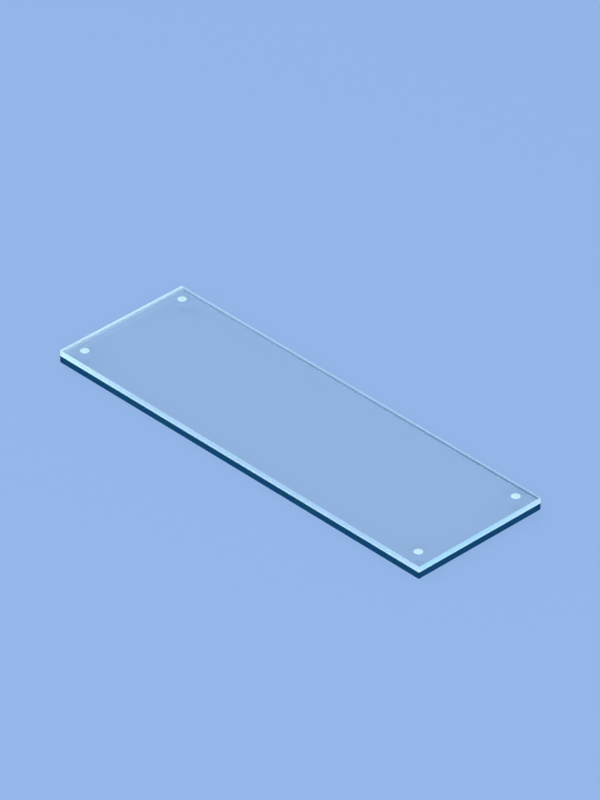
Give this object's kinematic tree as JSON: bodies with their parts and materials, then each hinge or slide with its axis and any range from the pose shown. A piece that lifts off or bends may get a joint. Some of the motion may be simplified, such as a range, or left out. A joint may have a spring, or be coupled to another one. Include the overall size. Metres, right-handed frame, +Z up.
{
  "type": "microscope slide",
  "caption": "Flat clear glass plate with ground edges, pale above and dark below, and a small low white dot near each corner. It carries a specimen under a microscope.",
  "frame": {"origin": "centre of the plate's bottom face, which lies on the microscope stage", "axes": "+X along the length, +Y across the width, +Z up through the thickness towards the face with the dots"},
  "size_m": [0.075, 0.025, 0.0022],
  "materials": {
    "clear_glass": "polished faces, satin ground edges",
    "white_enamel": "gloss, fired"
  },
  "bodies": {
    "root": {"glass_plate": "clear_glass", "dot_front_left": "white_enamel", "dot_front_right": "white_enamel", "dot_rear_left": "white_enamel", "dot_rear_right": "white_enamel"}
  },
  "joints": []
}
